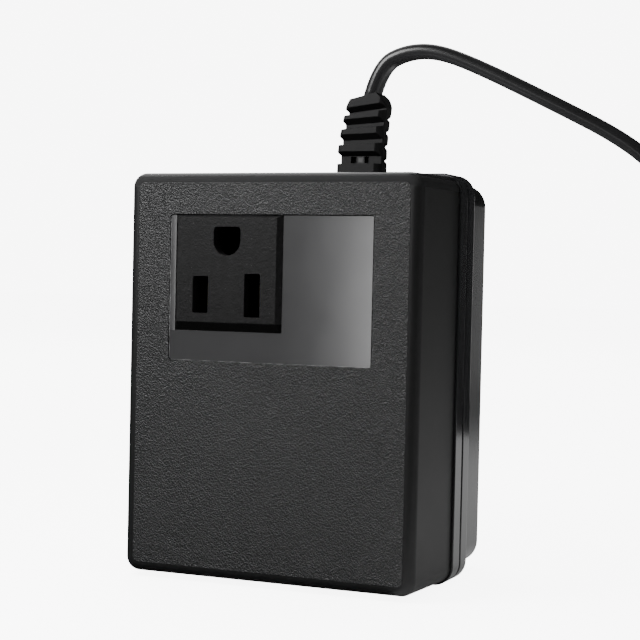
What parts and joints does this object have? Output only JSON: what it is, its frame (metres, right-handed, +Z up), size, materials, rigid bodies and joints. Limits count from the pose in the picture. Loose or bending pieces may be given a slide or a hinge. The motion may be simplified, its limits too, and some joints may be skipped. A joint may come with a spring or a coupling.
{
  "type": "travel voltage converter",
  "caption": "Small black step-down converter box with a three-hole socket in its front face, a ribbed strain relief on top and a flat twin cord ending in a two-pin plug.",
  "frame": {"origin": "middle of the case's underside, on the surface that it stands on", "axes": "+Z up along the case's height, -Y out of the front face with the socket, +X to the right seen from the front"},
  "size_m": [0.2021, 0.0982, 0.1226],
  "materials": {
    "case_plastic": "black moulded plastic, fine grain on the front, satin sides",
    "plate_gloss": "glossy black label stock",
    "socket_plastic": "black moulded socket, fine texture",
    "screw_steel": "zinc-plated",
    "contact_brass": "spring brass, tinned tails",
    "core_steel": "stacked silicon-steel laminations",
    "bobbin_plastic": "natural nylon",
    "winding_copper": "enamelled copper wire",
    "tape_film": "yellow polyester tape",
    "fuse_body": "white thermal fuse body",
    "relief_rubber": "moulded black PVC, satin",
    "lead_blue": "blue insulated wire",
    "lead_brown": "brown insulated wire",
    "sleeve_plastic": "black shrink sleeve",
    "cord_rubber": "black PVC sheath, satin",
    "tie_plastic": "black tie band",
    "plug_plastic": "moulded black PVC",
    "pin_metal": "nickel-plated"
  },
  "bodies": {
    "root": {"front_shell": "case_plastic", "rear_shell": "case_plastic", "case_screws": "screw_steel", "rating_plate": "plate_gloss", "socket_housing": "socket_plastic", "socket_back_cover": "socket_plastic", "neutral_contact": "contact_brass", "line_contact": "contact_brass", "socket_cover_screws": "screw_steel", "core_e_stack": "core_steel", "core_i_stack": "core_steel", "core_bolts": "screw_steel", "coil_bobbin": "bobbin_plastic", "common_winding": "winding_copper", "winding_insulation": "tape_film", "series_winding": "winding_copper", "winding_tape": "tape_film", "terminal_pins": "contact_brass", "thermal_fuse": "fuse_body", "strain_relief": "relief_rubber", "neutral_input_lead": "lead_blue", "live_input_lead": "lead_brown", "neutral_output_lead": "lead_blue", "live_output_lead": "lead_brown", "lead_sleeves": "sleeve_plastic", "cord_run": "cord_rubber", "cord_coil": "cord_rubber", "cord_tail": "cord_rubber", "cord_tie": "tie_plastic", "plug_body": "plug_plastic", "plug_pins": "pin_metal", "plug_pin_sleeves": "plug_plastic"}
  },
  "joints": []
}
